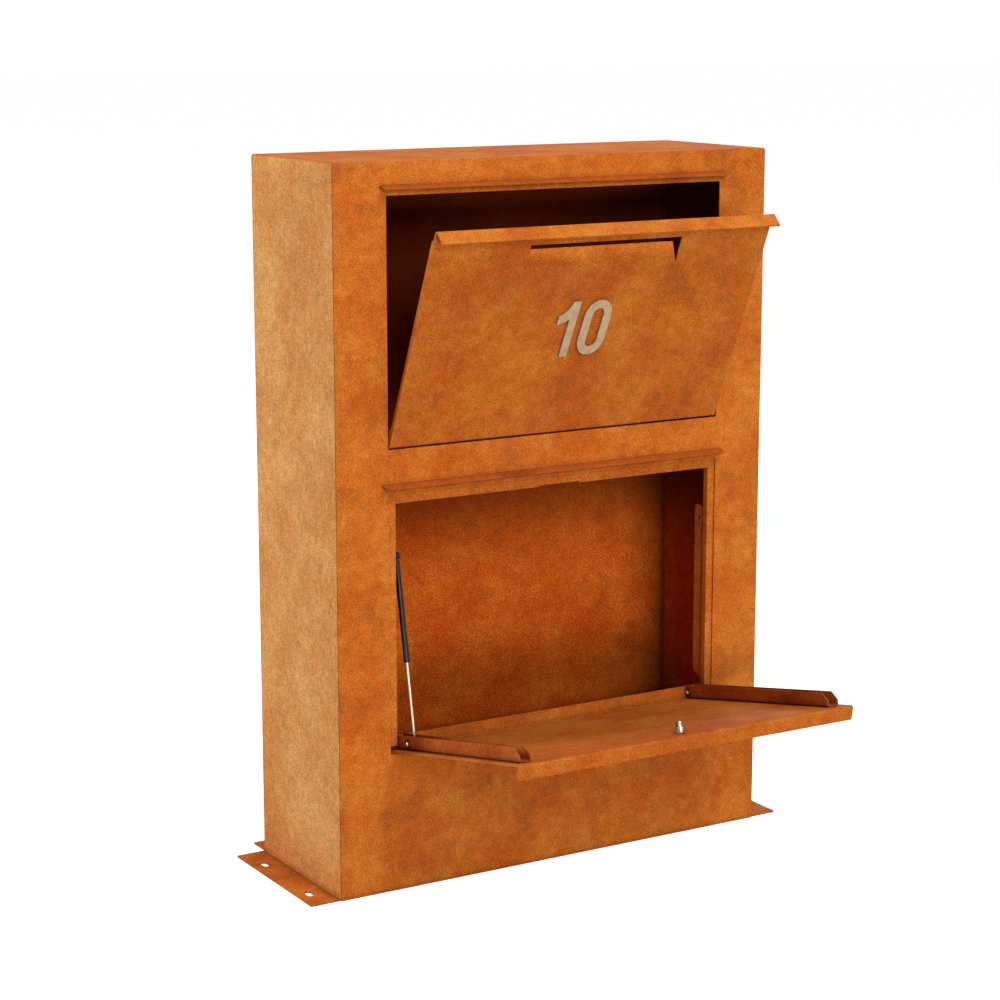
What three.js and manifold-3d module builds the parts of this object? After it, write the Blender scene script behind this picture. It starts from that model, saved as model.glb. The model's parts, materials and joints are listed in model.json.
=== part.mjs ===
// Free-standing parcel mailbox of folded weathering steel: a cabinet with a tilting drop flap above and a
// drop-down door on a gas strut below. Millimetres, +Z up, the front faces -Y, the origin is under the
// middle of the box. Both doors are shown as they stand when opened.
import * as THREE from 'three';
import { mergeVertices } from 'three/addons/utils/BufferGeometryUtils.js';
import Module from 'manifold-3d';

const wasm = await Module();
wasm.setup();

// Cabinet. Its own frame has the front face at y = 0, the floor at z = 0 and x measured from the middle.
const CABINET_WIDTH = 694;
const CABINET_DEPTH = 241;
const CABINET_HEIGHT = 1000;
const SHEET = 2;
const BEND_RADIUS = 1.5;
const GAP = 0.3;
const SIDE_FLANGE = 45.4;
const BACK_FLANGE = 37.5;
const FLANGE_CORNER_RADIUS = 3;
const SLOT_WIDTH = 9;
const SLOT_LENGTH = 18;
const SLOT_INSET = 27;
const SIDE_SLOT_YS = [45, 184];
const BACK_SLOT_XS = [-250, 250];
const FLOOR_HEIGHT = 140;
const FLOOR_LIP = 25;

// Openings in the front and what sits around them.
const OPENING_HALF = 268.5;
const UPPER_OPENING = { bottom: 618, top: 955.3 };
const LOWER_OPENING = { bottom: 196.2, top: 557.3 };
const STRIP_HALF = 278;
const STRIP_WIDTH = 13;
const STRIP_CORNER = 7;
const STRIP_SLOPE = 20;
const STRIP_ABOVE_OPENING = 12.4;
const STOP_INNER_HALF = 257;
const STOP_OUTER_HALF = 277;
const STOP_INNER_TOP = 544;
const STOP_OUTER_TOP = 576;
const STOP_BOTTOM = 206.6;
const STOP_RETURN = 8;
const STOP_NOTCH = { from: -30, to: 36 };

// Flap, drawn shut with its outer face at y = 0.
const FLAP_HALF = 266.5;
const FLAP_BOTTOM = 620.5;
const FLAP_FOLD = 950;
const FLAP_LIP = 24.2;
const FLAP_LIP_DROOP = 22;
const FLAP_BOTTOM_LIP = 18;
const FLAP_RETURN = { ear: 10, earTop: 642, edge: 5.5, edgeFrom: 652 };
const FLAP_RETURN_TOP = 932;
const FLAP_PIVOT = { y: 6, z: 625.5 };
const FLAP_OPEN = 23.66;
const FLAP_PIN_RADIUS = 2.2;
const FLAP_PIN_HEAD = 2.7;
const FLAP_PIN_END = 1.5;
const TONGUE = {
  half: 120, bottom: 882.5, top: 920.3, shift: 1.9, slit: 1.2, radius: 6, turn: 40.3, flat: 24,
};
const TONGUE_STEPS = 6;
const BRACKET_LEG = 269.3;
const BRACKET_HEIGHT = 24;
const BRACKET_FOOT = 290;
const BRACKET_ARM = { inner: 250, y: 14, bottom: 627 };

// House number.
const DIGIT_THICKNESS = 3;
const DIGIT_BOTTOM = 746.5;
const DIGIT_TOP = 831.5;
const DIGIT_LEAN = 2.5;
const ONE = { left: -31.3, right: -19.5, flagLeft: -49.3, flagLow: 796.9, flagHigh: 809.7, flagRoot: 804.9 };
const ONE_UPPER_CURVE = { x: -35.3, z: 815.7 };
const ONE_LOWER_CURVE = { x: -37.3, z: 799.9 };
const ZERO = { left: -8, right: 35.2, stroke: 12.6 };
const ZERO_END_STRETCH = 1.15;

// Door, drawn shut with its outer face at y = 0.
const DOOR_HALF = 266.5;
const DOOR_AXIS = { y: 11.5, z: 208.5 };
const DOOR_OPEN = 78.5;
const DOOR_BOTTOM = 198.7;
const DOOR_FOLD = 555.2;
const DOOR_LIP = 21.9;
const DOOR_LIP_DROOP = 21.7;
const DOOR_REAR_LIP = 20.3;
const DOOR_REAR_LIP_HALF = 256;
const CHANNEL = { inner: 236.5, outer: 254.5, height: 19.4, end: 537.5, slantAlong: 12, slantDown: 10.5 };
const STRUT_ARM = 36;
const SPARE_HOLE_RADIUS = 2.4;

// Side plates of the door's hinge, and its M8 bolts.
const PLATE_X = 259.3;
const PLATE_FRONT = 4.6;
const PLATE_NECK = 12;
const PLATE_REAR = 35;
const PLATE_WING = { bottom: 229, top: 485, lowRadius: 15, topRadius: 4.5 };
const EAR_RADIUS = 9;
const BOLT_RADIUS = 4;
const BOLT_HEAD = { radius: 5.8, height: 2.4, socketDepth: 1.5 };
const STRUT_BOLT_HEAD = { radius: 6.5, height: 1.6, socketDepth: 1 };
const HEAD_RIM_SHARE = 0.45;
const HEAD_FACE_SHARE = 0.68;
const SOCKET_ACROSS_FLATS = 5;
const NUT = { acrossFlats: 12, height: 6, boltBeyond: 2 };

// Gas strut, in the plane of the left channel.
const STRUT_X = -244;
const STRUT_TOP = { y: 26, z: 466.5 };
const STRUT_TUBE = { radius: 4, bore: 2.1, from: 6.5, to: 146 };
const STRUT_ROD = { radius: 1.6, hidden: 45 };
const STRUT_PLUG = { radius: 2.3, top: 14.5 };
const STRUT_EYE = { radius: 5, width: 5, bore: 3.3 };
const EYE_OVERLAP = 1;
const STUD_RADIUS = 3;
const STUD_HEAD = { radius: 4.4, height: 1.6 };

// Cam lock, on the door's middle.
const LOCK_UP_DOOR = 320;
const LOCK_X = -2;
const LOCK_RADIUS = 5.5;
const LOCK_FLANGE = { radius: 8, height: 2 };
const LOCK_DEPTH = 11.7;
const LOCK_NUT = { radius: 6.3, height: 3 };
const KEY_SLOT = { width: 1.2, length: 5.2, depth: 3 };
const PLUG_RADIUS = 3.8;
const CAM = { reach: 19, width: 8, thickness: 2, restTurn: 31 };
const CAM_SCREW = { radius: 3.2, height: 4.2 };

const RUST = { color: 0xb5621f, roughness: 0.85, metalness: 0.1 };
const DARK_RUST = { color: 0x8e4616, roughness: 0.88, metalness: 0.1 };
const STEEL = { color: 0xb9b7b0, roughness: 0.35, metalness: 0.9 };
const NUMBER_METAL = { color: 0xb7a58c, roughness: 0.5, metalness: 0.5 };
const BLACK_PAINT = { color: 0x1b1815, roughness: 0.45, metalness: 0.2 };
const DARK_BOLT = { color: 0x2f241d, roughness: 0.5, metalness: 0.6 };

const ROUND_STEPS = 24;
const BEND_STEPS = 3;
const LEFT_OF_PATH = 1;
const RIGHT_OF_PATH = -1;
const radians = THREE.MathUtils.degToRad;

// The solid of a closed geometry, for cutting and joining.
function solid(geometry) {
  const bare = geometry.clone();
  bare.deleteAttribute('normal');
  bare.deleteAttribute('uv');
  const merged = mergeVertices(bare, 1e-4);
  const mesh = new wasm.Mesh({
    numProp: 3,
    vertProperties: Float32Array.from(merged.attributes.position.array),
    triVerts: Uint32Array.from(merged.index.array),
  });
  return new wasm.Manifold(mesh);
}

// The geometry of a solid, with flat faces.
function geometryOf(manifold) {
  const mesh = manifold.getMesh();
  const geometry = new THREE.BufferGeometry();
  geometry.setAttribute('position', new THREE.BufferAttribute(mesh.vertProperties, 3));
  geometry.setIndex(new THREE.BufferAttribute(mesh.triVerts, 1));
  geometry.computeVertexNormals();
  return geometry;
}

function join(first, ...others) {
  return geometryOf(others.reduce((sum, other) => sum.add(solid(other)), solid(first)));
}

function cut(first, ...cutters) {
  return geometryOf(cutters.reduce((left, cutter) => left.subtract(solid(cutter)), solid(first)));
}

function common(first, second) {
  return geometryOf(solid(first).intersect(solid(second)));
}

// Extrusion of a flat outline along an axis: the outline's plane is (y, z), (x, z) or (x, y) of the object.
const AXES_OF = {
  x: new THREE.Matrix4().set(0, 0, 1, 0, 1, 0, 0, 0, 0, 1, 0, 0, 0, 0, 0, 1),
  y: new THREE.Matrix4().set(1, 0, 0, 0, 0, 0, -1, 0, 0, 1, 0, 0, 0, 0, 0, 1),
  z: new THREE.Matrix4(),
};

function extrude(shape, axis, from, to) {
  const geometry = new THREE.ExtrudeGeometry(shape, {
    depth: to - from,
    bevelEnabled: false,
    curveSegments: 6,
  });
  geometry.applyMatrix4(AXES_OF[axis]);
  const start = axis === 'y' ? to : from;
  const offset = new THREE.Vector3();
  offset[axis] = start;
  return geometry.translate(offset.x, offset.y, offset.z);
}

function polygon(points) {
  return new THREE.Shape(points.map(([u, v]) => new THREE.Vector2(u, v)));
}

function box(low, high) {
  const size = high.map((value, index) => value - low[index]);
  const middle = high.map((value, index) => (value + low[index]) / 2);
  return new THREE.BoxGeometry(...size).translate(...middle);
}

function disc(u, v, radius) {
  return new THREE.Shape().absarc(u, v, radius, 0, 2 * Math.PI);
}

function hexagon(u, v, acrossFlats) {
  const radius = acrossFlats / Math.sqrt(3);
  const corners = Array.from({ length: 6 }, (unused, index) => {
    const angle = (index * Math.PI) / 3;
    return [u + radius * Math.cos(angle), v + radius * Math.sin(angle)];
  });
  return polygon(corners);
}

// The section of a folded sheet: the path is one face of the sheet, which lies on the given side of it.
function foldedSheet(path, side) {
  const points = path.map(([u, v]) => new THREE.Vector2(u, v));
  const leftOf = (direction) => new THREE.Vector2(-direction.y, direction.x);
  const face = [];
  const back = [];
  const put = (point, normal) => {
    face.push(point);
    back.push(point.clone().addScaledVector(normal, side * SHEET));
  };
  const directions = points.slice(1).map((point, index) => point.clone().sub(points[index]).normalize());
  put(points[0], leftOf(directions[0]));
  for (let index = 1; index < points.length - 1; index += 1) {
    const into = directions[index - 1];
    const out = directions[index];
    const turn = Math.atan2(into.cross(out), into.dot(out));
    const towards = Math.sign(turn);
    const radius = towards === side ? BEND_RADIUS + SHEET : BEND_RADIUS;
    const start = points[index].clone().addScaledVector(into, -radius * Math.tan(Math.abs(turn) / 2));
    const centre = start.clone().addScaledVector(leftOf(into), towards * radius);
    for (let step = 0; step <= BEND_STEPS; step += 1) {
      const angle = (turn * step) / BEND_STEPS;
      const normal = leftOf(into).rotateAround(new THREE.Vector2(), angle);
      put(centre.clone().addScaledVector(normal, -towards * radius), normal);
    }
  }
  put(points[points.length - 1], leftOf(directions[directions.length - 1]));
  return new THREE.Shape([...face, ...back.reverse()]);
}

function slot(x, y, alongX) {
  const reach = (SLOT_LENGTH - SLOT_WIDTH) / 2;
  const [dx, dy] = alongX ? [reach, 0] : [0, reach];
  const half = SLOT_WIDTH / 2;
  const ends = [-1, 1].map((sign) => extrude(disc(x + sign * dx, y + sign * dy, half), 'z', -1, 3 * SHEET));
  const middle = alongX
    ? box([x - dx, y - half, -1], [x + dx, y + half, 3 * SHEET])
    : box([x - half, y - dy, -1], [x + half, y + dy, 3 * SHEET]);
  return join(middle, ...ends);
}

// What is taken off a flange's square corner to round it. The signs point out of the corner.
function cornerWaste(x, y, signX, signY) {
  const radius = FLANGE_CORNER_RADIUS;
  const centreX = x - signX * radius;
  const centreY = y - signY * radius;
  const square = box(
    [Math.min(centreX, x + signX), Math.min(centreY, y + signY), -1],
    [Math.max(centreX, x + signX), Math.max(centreY, y + signY), 2 * SHEET],
  );
  return cut(square, extrude(disc(centreX, centreY, radius), 'z', -2, 3 * SHEET));
}

function part(name, geometry, finish) {
  const mesh = new THREE.Mesh(geometry, new THREE.MeshStandardMaterial(finish));
  mesh.name = name;
  return mesh;
}

// A group whose contents are drawn in the cabinet's frame and turned about an axis along X.
function turned(pivot, degrees, meshes) {
  const drawn = new THREE.Group();
  drawn.position.set(0, -pivot.y, -pivot.z);
  drawn.add(...meshes);
  const swung = new THREE.Group();
  swung.position.set(0, pivot.y, pivot.z);
  swung.rotation.x = radians(degrees);
  swung.add(drawn);
  return swung;
}

// The outline of the cabinet seen from the front, with the top bends' corners.
function cabinetOutline() {
  const half = CABINET_WIDTH / 2;
  const radius = BEND_RADIUS + SHEET;
  const shape = new THREE.Shape();
  shape.moveTo(-half, 0);
  shape.lineTo(half, 0);
  shape.lineTo(half, CABINET_HEIGHT - radius);
  shape.absarc(half - radius, CABINET_HEIGHT - radius, radius, 0, Math.PI / 2);
  shape.absarc(-half + radius, CABINET_HEIGHT - radius, radius, Math.PI / 2, Math.PI);
  return shape;
}

function bodyWrap() {
  const half = CABINET_WIDTH / 2;
  const tip = half + SIDE_FLANGE;
  const leftSide = [[-tip, SHEET], [-half, SHEET], [-half, CABINET_HEIGHT]];
  const rightSide = [[half, CABINET_HEIGHT], [half, SHEET], [tip, SHEET]];
  const section = foldedSheet([...leftSide, ...rightSide], RIGHT_OF_PATH);
  const front = SHEET + GAP;
  const rear = CABINET_DEPTH - SHEET - GAP;
  const waste = [];
  for (const sign of [-1, 1]) {
    waste.push(cornerWaste(sign * tip, front, sign, -1), cornerWaste(sign * tip, rear, sign, 1));
    waste.push(...SIDE_SLOT_YS.map((y) => slot(sign * (half + SLOT_INSET), y, false)));
  }
  return cut(extrude(section, 'y', front, rear), ...waste);
}

function frontPanel() {
  const outline = cabinetOutline();
  for (const { bottom, top } of [UPPER_OPENING, LOWER_OPENING]) {
    outline.holes.push(polygon([
      [-OPENING_HALF, bottom], [-OPENING_HALF, top], [OPENING_HALF, top], [OPENING_HALF, bottom],
    ]));
  }
  return extrude(outline, 'y', 0, SHEET);
}

function backPanel() {
  const half = CABINET_WIDTH / 2;
  const tip = CABINET_DEPTH + BACK_FLANGE;
  const path = [[tip, SHEET], [CABINET_DEPTH, SHEET], [CABINET_DEPTH, CABINET_HEIGHT]];
  const sheet = extrude(foldedSheet(path, LEFT_OF_PATH), 'x', -half, half);
  const folded = common(sheet, extrude(cabinetOutline(), 'y', 0, 2 * CABINET_DEPTH));
  const slots = BACK_SLOT_XS.map((x) => slot(x, CABINET_DEPTH + SLOT_INSET - SHEET, true));
  const corners = [-1, 1].map((sign) => cornerWaste(sign * half, tip, sign, 1));
  return cut(folded, ...slots, ...corners);
}

function floorShelf() {
  const half = CABINET_WIDTH / 2 - SHEET - 2 * GAP;
  const low = FLOOR_HEIGHT - FLOOR_LIP;
  const section = foldedSheet(
    [[-half, low], [-half, FLOOR_HEIGHT], [half, FLOOR_HEIGHT], [half, low]],
    RIGHT_OF_PATH,
  );
  return extrude(section, 'y', SHEET + 2 * GAP, CABINET_DEPTH - SHEET - 2 * GAP);
}

// A rain strip, welded along its rear edge and sloping down to the front.
function dripStrip(name, openingTop) {
  const shape = new THREE.Shape();
  const front = -STRIP_WIDTH;
  const radius = STRIP_CORNER;
  shape.moveTo(STRIP_HALF, 0);
  shape.lineTo(-STRIP_HALF, 0);
  shape.lineTo(-STRIP_HALF, front + radius);
  shape.absarc(-STRIP_HALF + radius, front + radius, radius, Math.PI, 1.5 * Math.PI);
  shape.absarc(STRIP_HALF - radius, front + radius, radius, 1.5 * Math.PI, 2 * Math.PI);
  const strip = part(name, extrude(shape, 'z', 0, SHEET), RUST);
  strip.rotation.x = radians(STRIP_SLOPE);
  strip.position.set(0, -GAP, openingTop + STRIP_ABOVE_OPENING);
  return strip;
}

// An angle bent round the lower opening's sides and top. Its inner return is cut away for the lock's cam.
function doorStopFrame() {
  const front = SHEET + GAP;
  const rear = front + SHEET;
  const inverted = (half, top) => [[-half, STOP_BOTTOM], [-half, top], [half, top], [half, STOP_BOTTOM]];
  const band = (outerHalf, outerTop) => polygon([
    ...inverted(outerHalf, outerTop),
    ...inverted(STOP_INNER_HALF, STOP_INNER_TOP).reverse(),
  ]);
  const face = extrude(band(STOP_OUTER_HALF, STOP_OUTER_TOP), 'y', front, rear);
  const lip = extrude(band(STOP_INNER_HALF + SHEET, STOP_INNER_TOP + SHEET), 'y', front, rear + STOP_RETURN);
  const behind = 2 * rear + STOP_RETURN;
  const notch = box(
    [STOP_NOTCH.from, 0, STOP_INNER_TOP - 1],
    [STOP_NOTCH.to, behind, STOP_INNER_TOP + SHEET],
  );
  const room = BOLT_RADIUS + 2 * GAP;
  const boltRoom = box(
    [-CABINET_WIDTH, DOOR_AXIS.y - room, STOP_BOTTOM - 1],
    [CABINET_WIDTH, behind, DOOR_AXIS.z + room],
  );
  return cut(join(face, lip), notch, boltRoom);
}

// A flat plate with an ear round the hinge bolt at its foot and a wing that carries the strut's stud.
function sidePlate(sign) {
  const { y, z } = DOOR_AXIS;
  const wing = PLATE_WING;
  const frontAngle = Math.PI + Math.acos((y - PLATE_FRONT) / EAR_RADIUS);
  const neckAngle = Math.asin(Math.sqrt(EAR_RADIUS ** 2 - (PLATE_NECK - y) ** 2) / EAR_RADIUS);
  const outline = new THREE.Shape();
  outline.absarc(y, z, EAR_RADIUS, frontAngle, 2 * Math.PI + neckAngle);
  outline.lineTo(PLATE_NECK, wing.bottom);
  const low = wing.lowRadius;
  outline.absarc(PLATE_REAR - low, wing.bottom + low, low, 1.5 * Math.PI, 2 * Math.PI);
  outline.absarc(PLATE_REAR - wing.topRadius, wing.top - wing.topRadius, wing.topRadius, 0, Math.PI / 2);
  outline.lineTo(PLATE_FRONT, wing.top);
  outline.holes.push(disc(y, z, BOLT_RADIUS + GAP), disc(STRUT_TOP.y, STRUT_TOP.z, STUD_RADIUS + GAP));
  const [from, to] = [sign * PLATE_X, sign * (PLATE_X + SHEET)].sort((a, b) => a - b);
  return extrude(outline, 'x', from, to);
}

// A strip bent into a foot behind the front panel, a leg for the hinge pin and an arm that stops the flap.
function flapBracket(sign) {
  const bottom = UPPER_OPENING.bottom;
  const top = bottom + BRACKET_HEIGHT;
  const front = SHEET + GAP;
  const arm = BRACKET_ARM;
  const path = [[BRACKET_FOOT, front], [BRACKET_LEG, front], [BRACKET_LEG, arm.y], [arm.inner, arm.y]];
  const outline = foldedSheet(path.map(([x, y]) => [sign * x, y]), sign === 1 ? RIGHT_OF_PATH : LEFT_OF_PATH);
  const [near, far] = [sign * (arm.inner - 1), sign * (BRACKET_LEG - BEND_RADIUS)].sort((a, b) => a - b);
  const pinDisc = disc(FLAP_PIVOT.y, FLAP_PIVOT.z, FLAP_PIN_RADIUS + GAP);
  const pinHole = extrude(pinDisc, 'x', -BRACKET_FOOT, BRACKET_FOOT);
  return cut(
    extrude(outline, 'z', bottom, top),
    box([near, arm.y - SHEET, bottom - 1], [far, arm.y + 2 * SHEET, arm.bottom]),
    pinHole,
  );
}

// The finger tongue: it stays on the sheet at its lower edge, and is bent inwards there.
function flapTongue() {
  const { half, bottom, radius, turn, flat, slit, shift } = TONGUE;
  const faces = [radius, radius - SHEET].map((reach) => {
    const line = [];
    for (let step = 0; step <= TONGUE_STEPS; step += 1) {
      const angle = (radians(turn) * step) / TONGUE_STEPS;
      line.push([radius - reach * Math.cos(angle), bottom + reach * Math.sin(angle)]);
    }
    const [y, z] = line[TONGUE_STEPS];
    line.push([y + flat * Math.sin(radians(turn)), z + flat * Math.cos(radians(turn))]);
    return line;
  });
  const root = [[SHEET, bottom - SHEET], [0, bottom - SHEET]];
  const section = polygon([...faces[0], ...faces[1].reverse(), ...root]);
  return extrude(section, 'x', shift - half + slit, shift + half - slit);
}

// The outline of a side return: an ear round the hinge pin, and a slim edge above it.
function flapReturn(bottom) {
  const { ear, earTop, edge, edgeFrom } = FLAP_RETURN;
  const outer = [[ear, bottom], [ear, earTop], [edge, edgeFrom], [edge, FLAP_RETURN_TOP]];
  return polygon([[0, bottom], ...outer, [0, FLAP_RETURN_TOP]]);
}

// The flap: one sheet folded to a grip lip, two side returns and a bottom lip, with the finger tongue.
function flapPanel() {
  const droop = radians(FLAP_LIP_DROOP);
  const lipEnd = [SHEET - FLAP_LIP * Math.cos(droop), FLAP_FOLD - FLAP_LIP * Math.sin(droop)];
  const lipTop = FLAP_BOTTOM + SHEET;
  const path = [[FLAP_BOTTOM_LIP, lipTop], [SHEET, lipTop], [SHEET, FLAP_FOLD], lipEnd];
  const section = foldedSheet(path, LEFT_OF_PATH);
  const sheet = extrude(section, 'x', -FLAP_HALF, FLAP_HALF);
  const bend = BEND_RADIUS + SHEET;
  const returns = [];
  const notches = [];
  for (const sign of [-1, 1]) {
    const side = [sign * FLAP_HALF, sign * (FLAP_HALF - SHEET)].sort((a, b) => a - b);
    returns.push(extrude(flapReturn(FLAP_BOTTOM + bend), 'x', ...side));
    const gap = [sign * (FLAP_HALF + 1), sign * (FLAP_HALF - bend)].sort((a, b) => a - b);
    notches.push(box([gap[0], SHEET, FLAP_BOTTOM - 1], [gap[1], FLAP_BOTTOM_LIP + 1, FLAP_BOTTOM + bend]));
  }
  const { half, bottom, top, shift } = TONGUE;
  const window = box([shift - half, -1, bottom], [shift + half, SHEET + 1, top]);
  const pinDisc = disc(FLAP_PIVOT.y, FLAP_PIVOT.z, FLAP_PIN_RADIUS);
  const pinHole = extrude(pinDisc, 'x', -2 * FLAP_HALF, 2 * FLAP_HALF);
  return join(cut(join(sheet, ...returns), ...notches, window, pinHole), flapTongue());
}

function flapPin(sign) {
  const inner = FLAP_HALF - SHEET;
  const shank = [inner - GAP, BRACKET_LEG + SHEET + FLAP_PIN_END].map((x) => sign * x).sort((a, b) => a - b);
  const head = [inner - GAP, inner - GAP - SHEET].map((x) => sign * x).sort((a, b) => a - b);
  const { y, z } = FLAP_PIVOT;
  return join(
    extrude(disc(y, z, FLAP_PIN_RADIUS - GAP), 'x', ...shank),
    extrude(disc(y, z, FLAP_PIN_HEAD), 'x', ...head),
  );
}

// A digit cut from thick sheet, leaning a little to the right.
function digit(outline) {
  const lean = Math.tan(radians(DIGIT_LEAN));
  const middle = (DIGIT_TOP + DIGIT_BOTTOM) / 2;
  const slant = new THREE.Matrix4().set(1, 0, lean, -lean * middle, 0, 1, 0, 0, 0, 0, 1, 0, 0, 0, 0, 1);
  return extrude(outline, 'y', -GAP - DIGIT_THICKNESS, -GAP).applyMatrix4(slant);
}

function digitOne() {
  const { left, right, flagLeft, flagLow, flagHigh, flagRoot } = ONE;
  const outline = new THREE.Shape();
  outline.moveTo(left, DIGIT_BOTTOM);
  outline.lineTo(right, DIGIT_BOTTOM);
  outline.lineTo(right, DIGIT_TOP);
  outline.lineTo(left, DIGIT_TOP);
  outline.quadraticCurveTo(ONE_UPPER_CURVE.x, ONE_UPPER_CURVE.z, flagLeft, flagHigh);
  outline.lineTo(flagLeft, flagLow);
  outline.quadraticCurveTo(ONE_LOWER_CURVE.x, ONE_LOWER_CURVE.z, left, flagRoot);
  return digit(outline);
}

// An upright ring with straight flanks and rounded ends.
function ringOutline(left, right, bottom, top, Outline) {
  const middle = (left + right) / 2;
  const radius = (right - left) / 2;
  const end = radius * ZERO_END_STRETCH;
  const outline = new Outline();
  outline.absellipse(middle, top - end, radius, end, 0, Math.PI);
  outline.absellipse(middle, bottom + end, radius, end, Math.PI, 2 * Math.PI);
  return outline;
}

function digitZero() {
  const { left, right, stroke } = ZERO;
  const outline = ringOutline(left, right, DIGIT_BOTTOM, DIGIT_TOP, THREE.Shape);
  const [low, high] = [DIGIT_BOTTOM + stroke, DIGIT_TOP - stroke];
  outline.holes.push(ringOutline(left + stroke, right - stroke, low, high, THREE.Path));
  return digit(outline);
}

// The door: one sheet folded to a grip lip at the top and a rear lip along the hinge side.
function doorPanel() {
  const droop = radians(DOOR_LIP_DROOP);
  const rearLip = DOOR_BOTTOM + SHEET;
  const lipEnd = [SHEET - DOOR_LIP * Math.cos(droop), DOOR_FOLD - DOOR_LIP * Math.sin(droop)];
  const path = [[DOOR_REAR_LIP, rearLip], [SHEET, rearLip], [SHEET, DOOR_FOLD], lipEnd];
  const section = foldedSheet(path, LEFT_OF_PATH);
  const sheet = extrude(section, 'x', -DOOR_HALF, DOOR_HALF);
  const notches = [-1, 1].map((sign) => {
    const [from, to] = [sign * DOOR_REAR_LIP_HALF, sign * (DOOR_HALF + 1)].sort((a, b) => a - b);
    return box([from, SHEET, DOOR_BOTTOM - 1], [to, DOOR_REAR_LIP + 1, rearLip + BEND_RADIUS]);
  });
  const lockDisc = disc(LOCK_X, DOOR_AXIS.z + LOCK_UP_DOOR, LOCK_RADIUS + GAP);
  const lockHole = extrude(lockDisc, 'y', -SHEET, 2 * SHEET);
  return cut(sheet, ...notches, lockHole);
}

// A U channel, open away from the door, with its free end cut off at a slant and holes for bolts.
function doorChannel(sign) {
  const foot = SHEET + GAP;
  const top = foot + CHANNEL.height;
  const start = DOOR_BOTTOM + SHEET + BEND_RADIUS;
  const path = [[CHANNEL.outer, top], [CHANNEL.outer, foot], [CHANNEL.inner, foot], [CHANNEL.inner, top]];
  const section = foldedSheet(path.map(([x, y]) => [sign * x, y]), sign === 1 ? RIGHT_OF_PATH : LEFT_OF_PATH);
  const { slantAlong, slantDown, end } = CHANNEL;
  const slantStart = end - slantAlong;
  const slant = polygon([[top - slantDown, end], [top, slantStart], [2 * top, slantStart], [2 * top, end]]);
  const across = [-CHANNEL.outer - 1, CHANNEL.outer + 1];
  const { y, z } = DOOR_AXIS;
  const hinge = extrude(disc(y, z, BOLT_RADIUS + GAP), 'x', ...across);
  const strutHole = extrude(disc(y, z + STRUT_ARM, SPARE_HOLE_RADIUS + GAP), 'x', ...across);
  return cut(extrude(section, 'z', start, end), extrude(slant, 'x', ...across), hinge, strutHole);
}

// A round piece along X, from one radius to another.
function taper(y, z, fromRadius, toRadius, from, to) {
  const geometry = new THREE.CylinderGeometry(toRadius, fromRadius, to - from, ROUND_STEPS);
  return geometry.rotateZ(-Math.PI / 2).translate((from + to) / 2, y, z);
}

// A low bolt head with a hexagon socket. It stands on the plane x = base and its free face looks towards -X.
function socketHead(y, z, head, base) {
  const rim = base - head.height * HEAD_RIM_SHARE;
  const face = base - head.height;
  const raised = taper(y, z, head.radius * HEAD_FACE_SHARE, head.radius, face, rim);
  const socket = extrude(hexagon(y, z, SOCKET_ACROSS_FLATS), 'x', face - 1, face + head.socketDepth);
  return cut(join(raised, taper(y, z, head.radius, head.radius, rim, base)), socket);
}

// A hinge bolt: its low head is inside, on the channel's inner wall, and its nut is outside the side plate.
function hingeBolt(sign) {
  const { y, z } = DOOR_AXIS;
  const base = CHANNEL.inner - GAP;
  const end = PLATE_X + SHEET + GAP + NUT.height + NUT.boltBeyond;
  const shank = taper(y, z, BOLT_RADIUS, BOLT_RADIUS, base, end);
  const bolt = join(shank, socketHead(y, z, BOLT_HEAD, base));
  return sign === 1 ? bolt : mirrored(bolt);
}

// The same piece on the other side of the middle.
function mirrored(geometry) {
  return geometryOf(solid(geometry).mirror([1, 0, 0]));
}

function hingeNut(sign) {
  const { y, z } = DOOR_AXIS;
  const face = PLATE_X + SHEET + GAP;
  const [from, to] = [face, face + NUT.height].map((x) => sign * x).sort((a, b) => a - b);
  const outline = hexagon(y, z, NUT.acrossFlats);
  outline.holes.push(disc(y, z, BOLT_RADIUS + GAP));
  return extrude(outline, 'x', from, to);
}

// The strut's lower bolt. Its stub ends beside the eye, which slides past it a little as the door swings.
function strutFootBolt() {
  const y = DOOR_AXIS.y;
  const z = DOOR_AXIS.z + STRUT_ARM;
  const wall = -CHANNEL.outer - GAP;
  const stubEnd = STRUT_X - STRUT_EYE.width / 2 - 2 * GAP;
  return join(
    extrude(disc(y, z, SPARE_HOLE_RADIUS), 'x', wall, stubEnd),
    socketHead(y, z, STRUT_BOLT_HEAD, wall),
  );
}

function strutTopStud() {
  const { y, z } = STRUT_TOP;
  const eyeSide = STRUT_X + STRUT_EYE.width / 2 + GAP;
  const plate = -PLATE_X - SHEET - GAP;
  return join(
    extrude(disc(y, z, STUD_RADIUS), 'x', plate, eyeSide),
    extrude(disc(y, z, STUD_HEAD.radius), 'x', eyeSide, eyeSide + STUD_HEAD.height),
    extrude(hexagon(y, z, 2 * STUD_HEAD.radius), 'x', plate - STUD_HEAD.height, plate),
  );
}

// The strut hangs down its own -Z from its top pivot, which is its own origin.
function latheTube(inner, outer, from, to) {
  const profile = [[inner, -to], [outer, -to], [outer, -from], [inner, -from], [inner, -to]];
  const geometry = new THREE.LatheGeometry(profile.map(([r, h]) => new THREE.Vector2(r, h)), ROUND_STEPS);
  return geometry.rotateX(Math.PI / 2);
}

function strutEye(z) {
  const { radius, width, bore } = STRUT_EYE;
  const outline = disc(0, z, radius);
  outline.holes.push(disc(0, z, bore));
  return extrude(outline, 'x', -width / 2, width / 2);
}

function roundBar(radius, from, to) {
  return extrude(disc(0, 0, radius), 'z', -to, -from);
}

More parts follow.
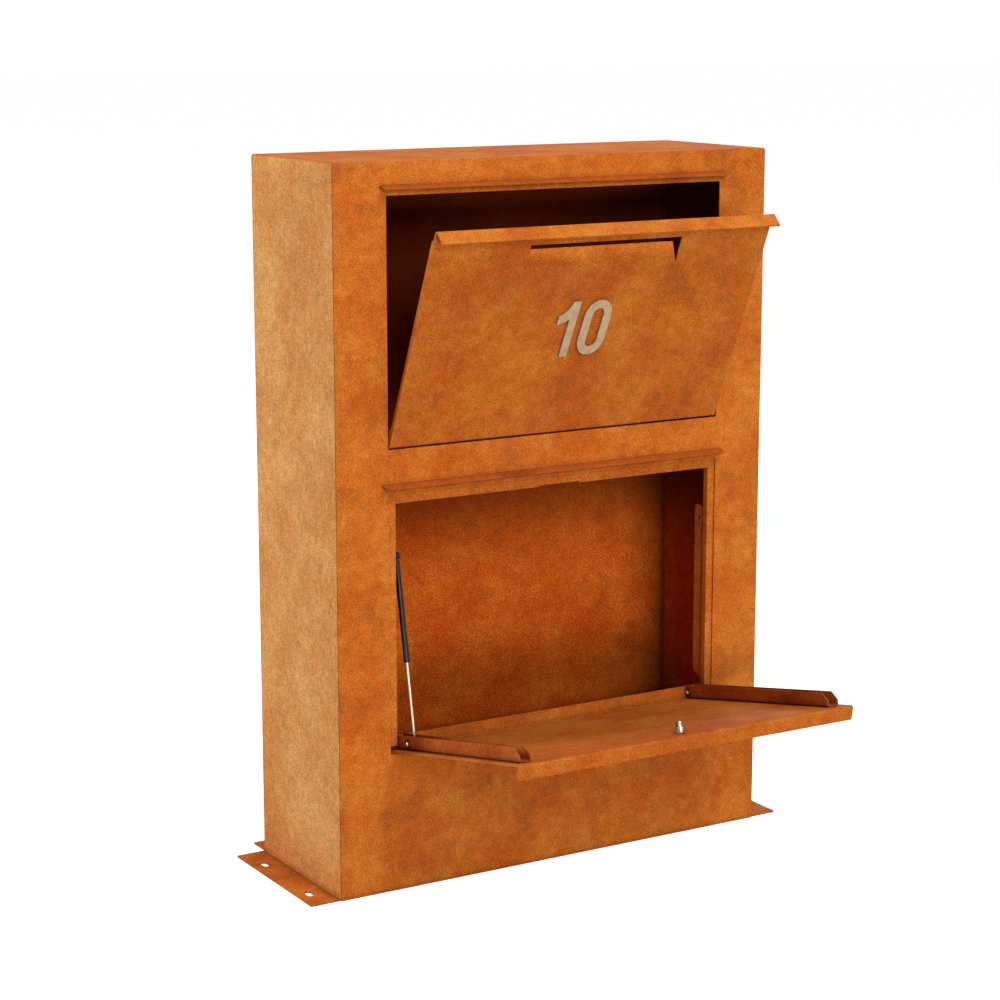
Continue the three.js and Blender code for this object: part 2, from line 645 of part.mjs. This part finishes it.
function strutMeshes(length) {
  const { radius, bore, from, to } = STRUT_TUBE;
  const neck = roundBar(bore, STRUT_EYE.radius - EYE_OVERLAP, from + STRUT_ROD.hidden / 3);
  const rod = roundBar(STRUT_ROD.radius, to - STRUT_ROD.hidden, length - STRUT_PLUG.top);
  const plugEnd = length - STRUT_EYE.radius + EYE_OVERLAP;
  const plug = roundBar(STRUT_PLUG.radius, length - STRUT_PLUG.top + GAP, plugEnd);
  return [
    part('strut_tube', latheTube(bore + GAP, radius, from, to), BLACK_PAINT),
    part('strut_top_eye', join(strutEye(0), neck), BLACK_PAINT),
    part('strut_rod', rod, STEEL),
    part('strut_foot_eye', join(strutEye(-length), plug), STEEL),
  ];
}

// The place of the strut's lower pivot when the door stands open.
function strutFootOpen() {
  const angle = radians(DOOR_OPEN);
  return { y: DOOR_AXIS.y - STRUT_ARM * Math.sin(angle), z: DOOR_AXIS.z + STRUT_ARM * Math.cos(angle) };
}

function gasStrut() {
  const foot = strutFootOpen();
  const dy = foot.y - STRUT_TOP.y;
  const dz = foot.z - STRUT_TOP.z;
  const strut = new THREE.Group();
  strut.add(...strutMeshes(Math.hypot(dy, dz)));
  strut.position.set(STRUT_X, STRUT_TOP.y, STRUT_TOP.z);
  strut.rotation.x = Math.atan2(dy, -dz);
  return strut;
}

// The lock's pieces, drawn along the door's depth about the lock's own axis.
function lockMeshes() {
  const z = DOOR_AXIS.z + LOCK_UP_DOOR;
  const round = (radius, from, to) => extrude(disc(LOCK_X, z, radius), 'y', from, to);
  const flangeBack = -GAP;
  const flangeFront = flangeBack - LOCK_FLANGE.height;
  const bore = round(PLUG_RADIUS + GAP, flangeFront - 1, LOCK_DEPTH + 1);
  const barrel = join(
    round(LOCK_FLANGE.radius, flangeFront, flangeBack),
    round(LOCK_RADIUS, flangeBack, LOCK_DEPTH),
  );
  const nut = disc(LOCK_X, z, LOCK_NUT.radius);
  nut.holes.push(disc(LOCK_X, z, LOCK_RADIUS + GAP));
  const nutFront = SHEET + GAP;
  const [slotHalf, slotReach] = [KEY_SLOT.width / 2, KEY_SLOT.length / 2];
  const keySlot = box(
    [LOCK_X - slotHalf, flangeFront - 1, z - slotReach],
    [LOCK_X + slotHalf, flangeFront + KEY_SLOT.depth, z + slotReach],
  );
  const camFront = LOCK_DEPTH + GAP;
  const camBack = camFront + CAM.thickness;
  const screwFront = camBack + GAP;
  return [
    part('lock_barrel', cut(barrel, bore), STEEL),
    part('lock_nut', extrude(nut, 'y', nutFront, nutFront + LOCK_NUT.height), STEEL),
    part('lock_plug', cut(round(PLUG_RADIUS, flangeFront, LOCK_DEPTH), keySlot), STEEL),
    part('lock_cam', lockCam(camFront, camBack).translate(LOCK_X, 0, z), STEEL),
    part('cam_screw', round(CAM_SCREW.radius, screwFront, screwFront + CAM_SCREW.height), STEEL),
  ];
}

// The cam, about the lock's axis: it points down, turned a little to the right, when the lock is open.
function lockCam(from, to) {
  const half = CAM.width / 2;
  const outline = new THREE.Shape();
  outline.absarc(0, 0, half, 0, Math.PI);
  outline.lineTo(-half, -CAM.reach);
  outline.lineTo(half, -CAM.reach);
  return extrude(outline, 'y', from, to).rotateY(radians(-CAM.restTurn));
}

const cabinet = new THREE.Group();
cabinet.add(
  part('body_wrap', bodyWrap(), RUST),
  part('front_panel', frontPanel(), RUST),
  part('back_panel', backPanel(), RUST),
  part('floor_shelf', floorShelf(), DARK_RUST),
  dripStrip('upper_drip_strip', UPPER_OPENING.top),
  dripStrip('lower_drip_strip', LOWER_OPENING.top),
  part('door_stop_frame', doorStopFrame(), RUST),
  part('side_plate_left', sidePlate(-1), DARK_RUST),
  part('side_plate_right', sidePlate(1), DARK_RUST),
  part('flap_bracket_left', flapBracket(-1), DARK_RUST),
  part('flap_bracket_right', flapBracket(1), DARK_RUST),
  part('strut_top_stud', strutTopStud(), DARK_BOLT),
);

const flap = turned(FLAP_PIVOT, FLAP_OPEN, [
  part('flap_panel', flapPanel(), RUST),
  part('flap_pin_left', flapPin(-1), STEEL),
  part('flap_pin_right', flapPin(1), STEEL),
  part('digit_one', digitOne(), NUMBER_METAL),
  part('digit_zero', digitZero(), NUMBER_METAL),
]);

const door = turned(DOOR_AXIS, DOOR_OPEN, [
  part('door_panel', doorPanel(), RUST),
  part('door_channel_left', doorChannel(-1), RUST),
  part('door_channel_right', doorChannel(1), RUST),
  part('hinge_bolt_left', hingeBolt(-1), DARK_BOLT),
  part('hinge_bolt_right', hingeBolt(1), DARK_BOLT),
  part('hinge_nut_left', hingeNut(-1), DARK_BOLT),
  part('hinge_nut_right', hingeNut(1), DARK_BOLT),
  part('strut_foot_bolt', strutFootBolt(), DARK_BOLT),
  ...lockMeshes(),
]);

// The whole is moved along Y so that the middle of its box, doors open, is over the origin.
const mailbox = new THREE.Group();
mailbox.add(cabinet, flap, door, gasStrut());
const extent = new THREE.Box3().setFromObject(mailbox, true);
mailbox.position.y = -(extent.min.y + extent.max.y) / 2;

export default mailbox;
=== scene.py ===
import json
import math

import bpy
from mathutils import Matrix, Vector


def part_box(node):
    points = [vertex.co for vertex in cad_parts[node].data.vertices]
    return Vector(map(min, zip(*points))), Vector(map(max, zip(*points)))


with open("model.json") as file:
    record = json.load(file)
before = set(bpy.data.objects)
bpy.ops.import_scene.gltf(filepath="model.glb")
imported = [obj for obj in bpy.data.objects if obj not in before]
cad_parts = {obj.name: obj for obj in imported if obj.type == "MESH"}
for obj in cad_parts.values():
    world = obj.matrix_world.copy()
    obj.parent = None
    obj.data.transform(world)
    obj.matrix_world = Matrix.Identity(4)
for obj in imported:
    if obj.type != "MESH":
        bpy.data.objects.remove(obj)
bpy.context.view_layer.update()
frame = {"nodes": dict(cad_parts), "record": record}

nodes = frame["nodes"]

# Camera, at the photograph's angle: metres, degrees and millimetres.
CAMERA_PLACE = (-1.8220, -2.8400, 1.2007)
CAMERA_PITCH = 11.29
CAMERA_YAW = 31.08
CAMERA_LENS = 89.40
SENSOR_WIDTH = 36.0

# Colours of the rust, linear.
RUST_RED = (0.46, 0.092, 0.008, 1.0)
RUST_ORANGE = (0.53, 0.132, 0.012, 1.0)
RUST_OCHRE = (0.56, 0.178, 0.020, 1.0)
RUST_BROWN = (0.36, 0.082, 0.010, 1.0)
# Pale rust of the outer sides, partly powder and partly a painted sheen from side light.
TAN_AND_SHEEN = (0.70, 0.356, 0.110, 1.0)
TAN_RED_AND_SHEEN = (0.59, 0.222, 0.050, 1.0)
RUST_SHADE = (0.085, 0.012, 0.002, 1.0)
INNER_RED = (0.34, 0.056, 0.004, 1.0)
INNER_ORANGE = (0.41, 0.080, 0.007, 1.0)
INNER_OCHRE = (0.45, 0.115, 0.013, 1.0)
INNER_BROWN = (0.24, 0.045, 0.005, 1.0)
WHITE = (1.0, 1.0, 1.0, 1.0)

# Patterns in the rust: scale per metre, detail, roughness, distortion.
BLOTCH = (5.5, 3.0, 0.55, 0.5)
CLOUD = (15.0, 5.0, 0.62, 0.4)
PATCH = (11.0, 6.0, 0.68, 0.2)
MOTTLE = (70.0, 4.0, 0.6)
GRAIN = (560.0, 3.0, 0.75)
SPECK = (1300.0, 1.0, 0.5)
STREAK = (210.0, 4.0, 0.68)
PITS = (470.0, 4.0, 0.7)
PATCH_OFFSET = (3.1, 1.7, 5.3)
STREAK_STRETCH = (1.0, 1.0, 0.4)

# How strongly each layer of rust, and the painted shade in crevices, shows, and the shades of its grain.
OCHRE_SHARE = 0.80
STAIN_SHARE = 0.75
# Share of the painted shade in crevices.
CREVICE_SHADE_SHARE = 0.60
GRAIN_DARK = 0.60
GRAIN_LIGHT = 1.36
RUST_BUMP = {"Strength": 0.40, "Distance": 0.0012}
RUST_SHEEN = 0.16
SHELTER_SHEEN = 0.02
# How far the painted shade in crevices reaches, in metres.
RUST_CREVICE = 0.012
OCCLUSION_SAMPLES = 6

# The cabinet's faces, in metres. Rust between them is out of the rain, redder and pitted, with painted
# shade in the corners and a painted shadow towards the top.
CABINET_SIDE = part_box("front_panel")[1][0]
FRONT_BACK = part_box("front_panel")[1][1]
INSIDE_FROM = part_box("door_stop_frame")[1][1]
BACK_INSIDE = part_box("back_panel")[0][1]
ROOF_UNDER = 0.9988
SIDE_SKIN = 0.0012
SIDE_BEND = 0.004
SKIN = 0.0008
SHELTER_TINT = (1.28, 1.02, 0.96, 1.0)
# The next three: a painted shadow inside, from the height where it starts to the height where it is full,
# and its strength.
TOP_SHADOW_FROM = 0.34
TOP_SHADOW_FULL = 0.53
TOP_SHADOW_DARK = 0.85
# The next two: painted shade in the inner corners, its reach and its strength.
CORNER_SHADE_REACH = 0.16
CORNER_SHADE = 0.62
PIT_DARK = 0.50

# The outer sides have lighter, powdery rust, partly a painted sheen from side light, and a dark front edge.
# Low down, less of this lighter layer shows.
POWDER_AND_SHEEN = 0.90
EDGE_DARK = 0.65
PALE_FADE_HEIGHT = 0.14
LOW_PALE_SHARE = 0.55

# Metal: worn patches, painted shade in its crevices, and a painted glint in the bolts' sockets.
WORN_PATCH = (110.0, 4.0, 0.6)
METAL_CREVICE = 0.004
METAL_BUMP = {"Strength": 0.15, "Distance": 0.0003}
# The next three: a painted glint in the bolts' sockets, its colour, its radius and where it is full.
GLINT_COLOUR = (0.95, 0.88, 0.76, 1.0)
GLINT_RADIUS = 0.0031
GLINT_INNER = 0.8

# Rounded edges of the CAD nodes, in metres.
SHEET_EDGE = 0.0005
SMALL_EDGE = 0.0002
EDGE_ANGLE = math.radians(28)
FLAT_ANGLE = math.radians(0.5)
MERGE_DISTANCE = 1e-6

# A pale floor that turns white to the viewer, and a dim world.
FLOOR_HALF = 40.0
FLOOR_DROP = 0.0004
FLOOR_PALE = 0.45
FLOOR_GLOW = 0.94
WORLD_LIGHT = 0.12

# Soft boxes: name, place, aim, width and height in metres, power in watts.
LAMPS = (
    ("key_softbox", (-2.4, -7.0, 3.3), (0.0, 0.0, 0.45), 2.4, 2.2, 178.0),
    ("low_softbox", (-1.6, -7.6, 0.5), (0.0, 0.0, 0.35), 3.0, 1.2, 284.0),
    ("high_softbox", (0.3, -2.2, 4.2), (0.0, -0.1, 0.4), 1.2, 1.0, 90.0),
    ("left_softbox", (-3.2, 2.6, 1.3), (-0.35, 0.15, 0.5), 1.6, 2.0, 116.0),
    ("right_softbox", (3.2, 2.6, 1.3), (0.35, 0.15, 0.5), 1.6, 2.0, 60.0),
    ("top_softbox", (0.1, 1.0, 3.4), (0.0, 0.15, 0.9), 2.0, 1.4, 22.0),
)


def put(tree, socket, value):
    """Links a socket to another node's output, or sets it to a value."""
    if isinstance(value, bpy.types.NodeSocket):
        tree.links.new(value, socket)
    else:
        socket.default_value = value


def add(tree, kind, inputs=None, **settings):
    """One shader node with its settings; an input is a value or another node's socket."""
    made = tree.nodes.new("ShaderNode" + kind)
    for name, value in settings.items():
        setattr(made, name, value)
    for socket, value in (inputs or {}).items():
        put(tree, made.inputs[socket], value)
    return made


def maths(tree, operation, first, second=0.0):
    """A sum with one or two values."""
    return add(tree, "Math", {0: first, 1: second}, operation=operation).outputs[0]


def product(tree, first, *others):
    """Several values multiplied together."""
    total = first
    for value in others:
        total = maths(tree, "MULTIPLY", total, value)
    return total


def weighted_sum(tree, *pairs):
    """The sum of several values, each times its share."""
    total = None
    for value, share in pairs:
        part = product(tree, value, share)
        total = part if total is None else maths(tree, "ADD", total, part)
    return total


def span(tree, value, low, high, to_low=0.0, to_high=1.0):
    """value's range from low to high, smoothly turned into another range."""
    inputs = {"Value": value, "From Min": low, "From Max": high, "To Min": to_low, "To Max": to_high}
    return add(tree, "MapRange", inputs, interpolation_type="SMOOTHSTEP").outputs[0]


def mix(tree, factor, first, second, blend="MIX"):
    """One colour over another."""
    made = add(tree, "Mix", {0: factor, 6: first, 7: second}, data_type="RGBA", blend_type=blend)
    return made.outputs[2]


def scaled(tree, colour, factor):
    """A colour made lighter or darker by a factor."""
    grey = add(tree, "CombineColor", {0: factor, 1: factor, 2: factor}).outputs[0]
    return mix(tree, 1.0, colour, grey, "MULTIPLY")


def noise(tree, place, scale, detail, roughness, distortion=0.0):
    """Noise from 0 to 1 at a place on the object."""
    inputs = {
        "Vector": place,
        "Scale": scale,
        "Detail": detail,
        "Roughness": roughness,
        "Distortion": distortion,
    }
    return add(tree, "TexNoise", inputs).outputs["Fac"]


def moved(tree, place, **inputs):
    """A place shifted by Location or stretched by Scale."""
    return add(tree, "Mapping", {"Vector": place, **inputs}).outputs[0]


def occlusion(tree, distance):
    """1 on open faces, less in crevices and corners."""
    return add(tree, "AmbientOcclusion", {"Distance": distance}, samples=OCCLUSION_SAMPLES).outputs["AO"]


def new_material(name):
    """A node material with one shader, and its texture coordinates."""
    material = bpy.data.materials.new(name)
    material.use_nodes = True
    tree = material.node_tree
    tree.nodes.clear()
    shader = add(tree, "BsdfPrincipled")
    add(tree, "OutputMaterial", {"Surface": shader.outputs[0]})
    coords = add(tree, "TexCoord").outputs
    return material, tree, shader, coords


def feed(tree, shader, **inputs):
    """Links or sets the shader's inputs."""
    for name, value in inputs.items():
        put(tree, shader.inputs[name.replace("_", " ")], value)


def powder_and_sheen(tree, coords, axes, blotch, patch, colour, tan):
    """Lighter, powdery rust on the cabinet's outer sides, partly a painted sheen from side light, in soft
    patches, with a dark front edge and less of it low down.
    """
    across = add(tree, "SeparateXYZ", {0: coords["Normal"]}).outputs["X"]
    facing = product(tree, across, maths(tree, "SIGN", axes["X"]))
    half = maths(tree, "ABSOLUTE", axes["X"])
    outer = maths(tree, "GREATER_THAN", half, CABINET_SIDE - SIDE_BEND)
    # Faces that look outward along X take the lighter powder and painted sheen.
    outward = product(tree, span(tree, facing, 0.5, 0.95), outer)
    streak = noise(tree, moved(tree, coords["Object"], Scale=STREAK_STRETCH), *STREAK)
    powder = weighted_sum(tree, (blotch, 0.24), (patch, 0.44), (streak, 0.32))
    pale = mix(tree, span(tree, powder, 0.38, 0.60), TAN_RED_AND_SHEEN, TAN_AND_SHEEN)
    share = span(tree, axes["Z"], 0.0, PALE_FADE_HEIGHT, LOW_PALE_SHARE * tan, tan)
    colour = mix(tree, product(tree, outward, share), colour, pale)
    edge = product(tree, outward, maths(tree, "LESS_THAN", axes["Y"], FRONT_BACK), EDGE_DARK)
    return mix(tree, edge, colour, RUST_SHADE)


def indoors(tree, axes, shelter_and_shade):
    """shelter where a place is inside the cabinet, and 0 elsewhere."""
    behind = maths(tree, "GREATER_THAN", axes["Y"], INSIDE_FROM + SKIN)
    before = maths(tree, "LESS_THAN", axes["Y"], BACK_INSIDE + SKIN)
    half = maths(tree, "ABSOLUTE", axes["X"])
    between = maths(tree, "LESS_THAN", half, CABINET_SIDE - SIDE_SKIN)
    below = maths(tree, "LESS_THAN", axes["Z"], ROOF_UNDER)
    return product(tree, behind, before, between, below, shelter_and_shade)


def inside_rust_and_shade(tree, place, axes, inside, colour):
    """Redder, pitted rust inside, where no rain reaches, with painted shade in the corners and a painted
    shadow towards the top.
    """
    colour = mix(tree, inside, colour, SHELTER_TINT, "MULTIPLY")
    pits = span(tree, noise(tree, place, *PITS), 0.58, 0.40)
    colour = mix(tree, product(tree, inside, pits, PIT_DARK), colour, RUST_SHADE)
    # Painted shade in the inner corners.
    corner = span(tree, occlusion(tree, CORNER_SHADE_REACH), 0.62, 0.22)
    colour = mix(tree, product(tree, inside, corner, CORNER_SHADE), colour, RUST_SHADE)
    # Painted shadow, darker towards the top.
    upper = span(tree, axes["Z"], TOP_SHADOW_FROM, TOP_SHADOW_FULL, 0.0, TOP_SHADOW_DARK)
    return mix(tree, product(tree, inside, upper), colour, RUST_SHADE)


def rust(name, red, orange, ochre, brown, tan=0.0, shelter_and_shade=1.0):
    """Weathered rust: blotches, clouds, stains, fine grain and painted shade in its crevices. tan is the
    share of powder and painted sheen on the outer sides, shelter that of the redder, pitted rust and
    painted shade inside."""
    material, tree, shader, coords = new_material(name)
    place = coords["Object"]
    axes = add(tree, "SeparateXYZ", {0: place}).outputs
    blotch = noise(tree, place, *BLOTCH)
    cloud = noise(tree, place, *CLOUD)
    patch = noise(tree, moved(tree, place, Location=PATCH_OFFSET), *PATCH)
    mottle = noise(tree, place, *MOTTLE)
    grain = noise(tree, place, *GRAIN)
    speck = noise(tree, place, *SPECK)

    redness = span(tree, weighted_sum(tree, (blotch, 0.6), (cloud, 0.4)), 0.38, 0.62)
    colour = mix(tree, redness, orange, red)
    colour = mix(tree, product(tree, span(tree, patch, 0.40, 0.68), OCHRE_SHARE), colour, ochre)
    stain = product(tree, span(tree, cloud, 0.50, 0.36), span(tree, patch, 0.56, 0.40))
    colour = mix(tree, product(tree, stain, STAIN_SHARE), colour, brown)
    if tan:
        colour = powder_and_sheen(tree, coords, axes, blotch, patch, colour, tan)
    shade = weighted_sum(tree, (mottle, 0.20), (grain, 0.80))
    colour = scaled(tree, colour, span(tree, shade, 0.36, 0.64, GRAIN_DARK, GRAIN_LIGHT))
    inside = indoors(tree, axes, shelter_and_shade)
    colour = inside_rust_and_shade(tree, place, axes, inside, colour)
    # Painted shade in crevices and where parts meet.
    crevice_shade = product(tree, span(tree, occlusion(tree, RUST_CREVICE), 0.95, 0.35), CREVICE_SHADE_SHARE)
    colour = mix(tree, crevice_shade, colour, RUST_SHADE)

    height = weighted_sum(tree, (grain, 0.6), (speck, 0.25), (mottle, 0.5))
    bump = add(tree, "Bump", {"Height": height, **RUST_BUMP}).outputs[0]
    matt = span(tree, weighted_sum(tree, (cloud, 1.0), (grain, 0.4)), 0.5, 0.9, 0.78, 0.98)
    sheen = span(tree, inside, 0.0, 1.0, RUST_SHEEN, SHELTER_SHEEN)
    feed(tree, shader, Base_Color=colour, Roughness=matt, Normal=bump, Specular_IOR_Level=sheen)
    return material


def metal(name, colour, worn, roughness, metallic, grain,
          stretch=(1, 1, 1), crevice_shade=0.7, bright=(), specular=0.5):
    """Metal or paint with fine scratches, worn patches and painted shade in its crevices. bright gives axes
    along X, as (y, z), round which a painted glint is put."""
    material, tree, shader, coords = new_material(name)
    place = coords["Object"]
    brushed = noise(tree, moved(tree, place, Scale=stretch), grain, 3.0, 0.6)
    patch = noise(tree, place, *WORN_PATCH)
    tone = mix(tree, span(tree, patch, 0.42, 0.66), colour, worn)
    tone = scaled(tree, tone, span(tree, brushed, 0.3, 0.7, 0.86, 1.12))
    # Painted shade in crevices.
    crevice = span(tree, occlusion(tree, METAL_CREVICE), 0.85, 0.30)
    tone = mix(tree, product(tree, crevice, crevice_shade), tone, RUST_SHADE)
    # A painted glint round each bolt's axis, in its socket.
    for y, z in bright:
        offset = moved(tree, place, Location=(0.0, -y, -z), Scale=(0, 1, 1))
        away = add(tree, "VectorMath", {0: offset}, operation="LENGTH").outputs["Value"]
        socket = span(tree, away, GLINT_RADIUS, GLINT_RADIUS * GLINT_INNER)
        tone = mix(tree, socket, tone, GLINT_COLOUR)
    bump = add(tree, "Bump", {"Height": brushed, **METAL_BUMP}).outputs[0]
    both = maths(tree, "ADD", brushed, patch)
    rough = span(tree, both, 0.7, 1.3, roughness - 0.08, roughness + 0.10)
    feed(tree, shader, Base_Color=tone, Roughness=rough, Normal=bump)
    feed(tree, shader, Metallic=metallic, Specular_IOR_Level=specular)
    return material


def bolt_axis(node):
    """The middle of a bolt that lies along X, as (y, z)."""
    low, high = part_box(node)
    return (low[1] + high[1]) / 2, (low[2] + high[2]) / 2


BOLT_AXES = [bolt_axis("hinge_bolt_left"), bolt_axis("strut_foot_bolt")]
OUTER_COLOURS = (RUST_RED, RUST_ORANGE, RUST_OCHRE, RUST_BROWN)
INNER_COLOURS = (INNER_RED, INNER_ORANGE, INNER_OCHRE, INNER_BROWN)
# A darker copy of the rust for the drip strips, as painted shade.
SHADED_STRIP_COLOURS = (RUST_BROWN, INNER_ORANGE, RUST_RED, INNER_BROWN)

MATERIALS = {
    "rust": rust("rust", *OUTER_COLOURS, tan=POWDER_AND_SHEEN),
    "inner_rust": rust("inner_rust", *INNER_COLOURS),
    "plate_rust": rust("plate_rust", *OUTER_COLOURS, shelter_and_shade=0.25),
    "door_rust": rust("door_rust", *OUTER_COLOURS, shelter_and_shade=0.0),
    "shaded_strip_rust": rust("shaded_strip_rust", *SHADED_STRIP_COLOURS),
    "number_metal": metal(
        "number_metal", (0.48, 0.34, 0.20, 1), (0.42, 0.28, 0.15, 1),
        roughness=0.50, metallic=0.5, grain=900.0,
    ),
    "dark_bolt": metal(
        "dark_bolt", (0.030, 0.020, 0.014, 1), (0.060, 0.035, 0.020, 1),
        roughness=0.40, metallic=0.5, grain=700.0, bright=BOLT_AXES,
    ),
    "bright_steel": metal(
        "bright_steel", (0.44, 0.40, 0.33, 1), (0.27, 0.22, 0.16, 1),
        roughness=0.28, metallic=1.0, grain=900.0,
    ),
    "black_paint": metal(
        "black_paint", (0.006, 0.006, 0.004, 1), (0.011, 0.010, 0.007, 1),
        roughness=0.36, metallic=0.0, grain=500.0, specular=0.22,
    ),
    "polished_rod": metal(
        "polished_rod", (0.80, 0.68, 0.50, 1), (0.70, 0.56, 0.38, 1),
        roughness=0.40, metallic=0.5, grain=600.0, stretch=(6, 6, 1), crevice_shade=0.2,
    ),
}
SMALL_SLOTS = ("dark_bolt", "bright_steel", "black_paint", "polished_rod", "number_metal")

# Nodes whose rust differs from the rest of their slot. The drip strips take a darker copy as painted shade;
# the side plates take a quarter, and the door none, of the inside's redder, pitted rust and painted shade.
OWN_LOOKS = {
    "upper_drip_strip": "shaded_strip_rust",
    "lower_drip_strip": "shaded_strip_rust",
    "door_panel": "door_rust",
    "side_plate_left": "plate_rust",
    "side_plate_right": "plate_rust",
}


def soften(piece, width):
    """Rounds the sharp edges of a CAD node without touching its mesh."""
    weld = piece.modifiers.new("weld", "WELD")
    weld.merge_threshold = MERGE_DISTANCE
    flatten = piece.modifiers.new("flatten", "DECIMATE")
    flatten.decimate_type = "DISSOLVE"
    flatten.angle_limit = FLAT_ANGLE
    bevel = piece.modifiers.new("round_edges", "BEVEL")
    bevel.width = width
    bevel.segments = 2
    bevel.limit_method = "ANGLE"
    bevel.angle_limit = EDGE_ANGLE
    bevel.harden_normals = False
    weighted = piece.modifiers.new("normals", "WEIGHTED_NORMAL")
    weighted.weight = 100
    weighted.keep_sharp = True


# Each CAD node gets its slot's material, or its own, and softly rounded edges.
for row in frame["record"]["subparts"]:
    piece = nodes[row["node"]]
    slot_name = row["material_slot"]
    piece.data.materials.clear()
    piece.data.materials.append(MATERIALS[OWN_LOOKS.get(row["node"], slot_name)])
    for face in piece.data.polygons:
        face.use_smooth = True
    soften(piece, SMALL_EDGE if slot_name in SMALL_SLOTS else SHEET_EDGE)


def white_to_viewer(tree):
    """1 for rays that show the background: camera, glossy and transmission rays."""
    path = add(tree, "LightPath").outputs
    shown = maths(tree, "MAXIMUM", path["Is Camera Ray"], path["Is Glossy Ray"])
    return maths(tree, "MAXIMUM", shown, path["Is Transmission Ray"])


def make_floor():
    """A wide pale floor, which glows white to the viewer and keeps the shadow."""
    mesh = bpy.data.meshes.new("floor")
    signs = ((-1, -1), (1, -1), (1, 1), (-1, 1))
    corners = [(x * FLOOR_HALF, y * FLOOR_HALF, -FLOOR_DROP) for x, y in signs]
    mesh.from_pydata(corners, [], [(0, 1, 2, 3)])
    floor = bpy.data.objects.new("floor", mesh)
    bpy.context.scene.collection.objects.link(floor)
    material = bpy.data.materials.new("pale_floor")
    material.use_nodes = True
    tree = material.node_tree
    tree.nodes.clear()
    pale = add(tree, "BsdfDiffuse", {"Color": (FLOOR_PALE, FLOOR_PALE, FLOOR_PALE, 1)})
    strength = product(tree, white_to_viewer(tree), FLOOR_GLOW)
    glow = add(tree, "Emission", {"Color": WHITE, "Strength": strength})
    both = add(tree, "AddShader", {0: pale.outputs[0], 1: glow.outputs[0]})
    add(tree, "OutputMaterial", {"Surface": both.outputs[0]})
    mesh.materials.append(material)


def make_world():
    """A dim even light all round, seen as plain white."""
    world = bpy.data.worlds.new("studio")
    world.use_nodes = True
    tree = world.node_tree
    tree.nodes.clear()
    light = add(tree, "Background", {"Color": WHITE, "Strength": WORLD_LIGHT})
    white = add(tree, "Background", {"Color": WHITE, "Strength": 1.0})
    seen = white_to_viewer(tree)
    either = add(tree, "MixShader", {0: seen, 1: light.outputs[0], 2: white.outputs[0]})
    add(tree, "OutputWorld", {"Surface": either.outputs[0]})
    bpy.context.scene.world = world


def lamp(name, place, aim, width, height, power):
    """A soft box at place that faces aim."""
    light = bpy.data.lights.new(name, "AREA")
    light.shape = "RECTANGLE"
    light.size = width
    light.size_y = height
    light.energy = power
    holder = bpy.data.objects.new(name, light)
    bpy.context.scene.collection.objects.link(holder)
    holder.location = place
    holder.rotation_euler = (Vector(aim) - Vector(place)).to_track_quat("-Z", "Y").to_euler()


make_floor()
make_world()
for softbox in LAMPS:
    lamp(*softbox)

bpy.context.scene.view_settings.view_transform = "Standard"
camera = bpy.data.objects.new("camera", bpy.data.cameras.new("camera"))
bpy.context.scene.collection.objects.link(camera)
camera.location = CAMERA_PLACE
camera.rotation_mode = "YXZ"
camera.rotation_euler = (math.radians(90 - CAMERA_PITCH), 0.0, math.radians(-CAMERA_YAW))
camera.data.lens = CAMERA_LENS
camera.data.sensor_width = SENSOR_WIDTH
bpy.context.scene.camera = camera
